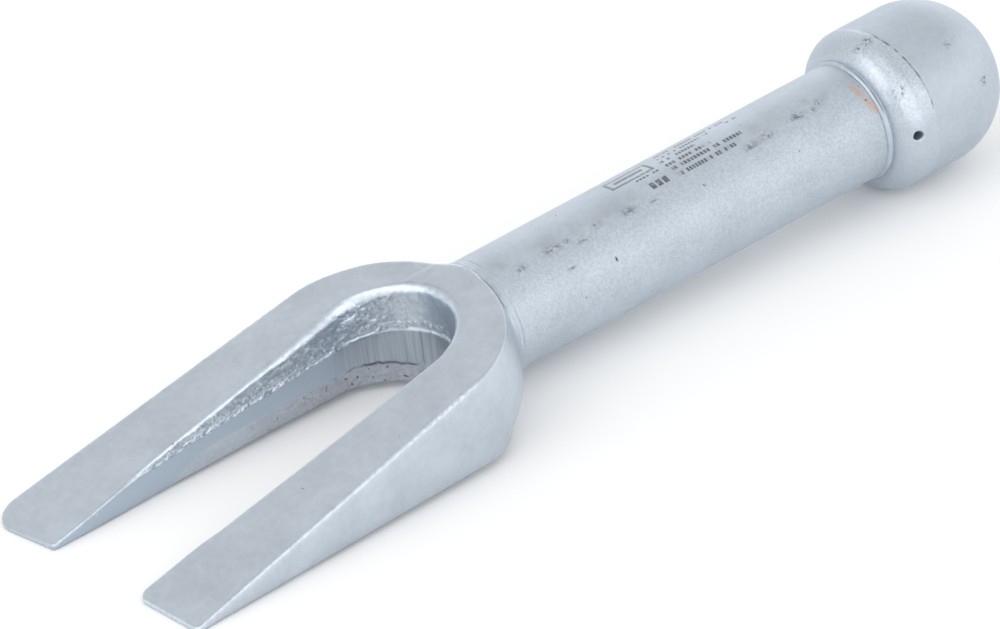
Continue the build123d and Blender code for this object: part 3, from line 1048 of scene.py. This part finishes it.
def head_material():
    nodes, color = zinc("head_zinc", roughness=0.4)
    front = nodes.layer("front")
    grain = nodes.noise(0.55, 2, 0.65)
    share = nodes.math("ADD", nodes.math("MULTIPLY", front, 0.4), 0.12)
    color = nodes.mix(0.25, color, shaded(ZINC, 0.85))
    color = nodes.cover(color, front, 0.6, shaded(ZINC, 1.18))
    color = speckle(nodes, color, grain, share)
    specks = nodes.spread(nodes.noise(0.7, 2, 0.6), 0.48, 0.58, 0, 0.9)
    color = nodes.cover(color, nodes.layer("soot"), specks, shaded(ZINC, 0.2))
    # Painted shade in the fine groove on the shoulder.
    color = nodes.mix(nodes.spread(nodes.layer("shade_and_marks"), 0.3, 0.8, 0, 0.75), color, PIT_AND_SHADE_DARK)
    color, _ = add_spots(nodes, color, 1.6, 0.27, None, shaded(ZINC, 0.4))
    nodes.put(color, nodes.shader.inputs["Base Color"])
    nodes.put(nodes.spread(front, 0, 1, 0.54, 0.38), nodes.shader.inputs["Roughness"])
    nodes.put(nodes.bump(nodes.math("MULTIPLY", grain, share), 0.1), nodes.shader.inputs["Normal"])
    return nodes.material


def weld_material():
    nodes, color = zinc("weld_zinc", roughness=0.48)
    # Painted shade in the head bead's crease.
    color = nodes.cover(color, nodes.layer("crease"), 0.85, shaded(ZINC, 0.25))
    nodes.put(color, nodes.shader.inputs["Base Color"])
    nodes.put(nodes.bump(nodes.noise(0.5, 2), 0.03), nodes.shader.inputs["Normal"])
    return nodes.material


# ---- pieces ----------------------------------------------------------------
def dress(piece, material):
    """Gives a piece its material, and lets it ride on the one body."""
    piece.data.materials.clear()
    piece.data.materials.append(material)
    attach(piece, "root")


dress(make_fork(), fork_material())
dress(make_shank(), shank_material())
dress(make_head(), head_material())
weld_zinc = weld_material()
dress(make_fork_bead(), weld_zinc)
dress(make_head_bead(), weld_zinc)

# ---- floor -----------------------------------------------------------------
# The tool lies on its prong tips and the rim of its head, so in the part's own
# frame the floor slopes.
REST_SLOPE = -0.0361
FLOOR_HALF = 3.0             # metres


def make_floor():
    height = (BOTTOM_Z + BOTTOM_SLOPE * TIP_X - REST_SLOPE * TIP_X) * MM
    signs = ((-1, -1), (1, -1), (1, 1), (-1, 1))
    flat = [(FLOOR_HALF * a, FLOOR_HALF * b) for a, b in signs]
    corners = [(x, y, height + REST_SLOPE * x) for x, y in flat]
    mesh = bpy.data.meshes.new("floor")
    mesh.from_pydata(corners, [], [(0, 1, 2, 3)])
    floor = bpy.data.objects.new("floor", mesh)
    bpy.context.collection.objects.link(floor)
    material = bpy.data.materials.new("glowing_floor_paper")
    material.use_nodes = True
    shader = material.node_tree.nodes["Principled BSDF"]
    shader.inputs["Base Color"].default_value = (0.9, 0.9, 0.9, 1)
    shader.inputs["Roughness"].default_value = 0.9
    # The paper also glows a little: painted light that lifts the shadows on it.
    shader.inputs["Emission Color"].default_value = (1, 1, 1, 1)
    shader.inputs["Emission Strength"].default_value = 0.05
    mesh.materials.append(material)


make_floor()

# ---- light -----------------------------------------------------------------
# A pale room with round softboxes: azimuth from +X towards +Y and height in
# degrees, then brightness.
ROOM_BRIGHTNESS = 0.84
SOFTBOX_DISTANCE = 1.6
SOFTBOX_RADIUS = 0.82
SOFTBOXES = {
    "front": (-97, 27, 0.63),
    "tip_side": (178, 22, 0.51),
    "head_side": (28, 4, 0.58),
    "low_front": (-77, 9, 0.31),
    "overhead": (-171, 57, 0.81),
    "rear": (60, 10, 0.31),
    "low_side": (-25, 4, 0.53),
}


def make_softbox(name, azimuth, height, brightness):
    data = bpy.data.lights.new(name, "AREA")
    data.shape = "DISK"
    data.size = 2 * SOFTBOX_RADIUS
    data.energy = brightness * math.pi * math.pi * SOFTBOX_RADIUS**2
    lamp = bpy.data.objects.new(name, data)
    flat = math.cos(math.radians(height))
    away = Vector(
        (
            math.cos(math.radians(azimuth)) * flat,
            math.sin(math.radians(azimuth)) * flat,
            math.sin(math.radians(height)),
        )
    )
    lamp.location = away * SOFTBOX_DISTANCE
    lamp.rotation_euler = away.to_track_quat("Z", "Y").to_euler()
    lamp.visible_camera = False
    bpy.context.collection.objects.link(lamp)


scene = bpy.context.scene
scene.view_settings.view_transform = "Standard"
world = bpy.data.worlds.new("studio")
scene.world = world
world.use_nodes = True
world.node_tree.nodes["Background"].inputs["Color"].default_value = (1, 1, 1, 1)
world.node_tree.nodes["Background"].inputs["Strength"].default_value = ROOM_BRIGHTNESS
for name, (azimuth, height, brightness) in SOFTBOXES.items():
    make_softbox(name, azimuth, height, brightness)

# ---- camera ----------------------------------------------------------------
AZIMUTH = math.radians(-36.372)
ELEVATION = math.radians(30.968)
ROLL = math.radians(-7.624)
DISTANCE = 2.11233
TARGET = Vector((0.03528, 0.006998, -0.006439))
LENS = 369.39


def make_camera():
    data = bpy.data.cameras.new("camera")
    data.lens = LENS
    data.sensor_width = 36
    data.clip_start = 0.1
    data.clip_end = 20
    camera = bpy.data.objects.new("camera", data)
    back = Vector(
        (
            math.sin(AZIMUTH) * math.cos(ELEVATION),
            -math.cos(AZIMUTH) * math.cos(ELEVATION),
            math.sin(ELEVATION),
        )
    )
    right = Vector((0, 0, 1)).cross(back).normalized()
    up = back.cross(right)
    camera.location = TARGET + back * DISTANCE
    rolled_right = right * math.cos(ROLL) + up * math.sin(ROLL)
    rolled_up = up * math.cos(ROLL) - right * math.sin(ROLL)
    camera.rotation_mode = "QUATERNION"
    columns = (rolled_right, rolled_up, back)
    camera.rotation_quaternion = Matrix(columns).transposed().to_quaternion()
    bpy.context.collection.objects.link(camera)
    scene.camera = camera


make_camera()
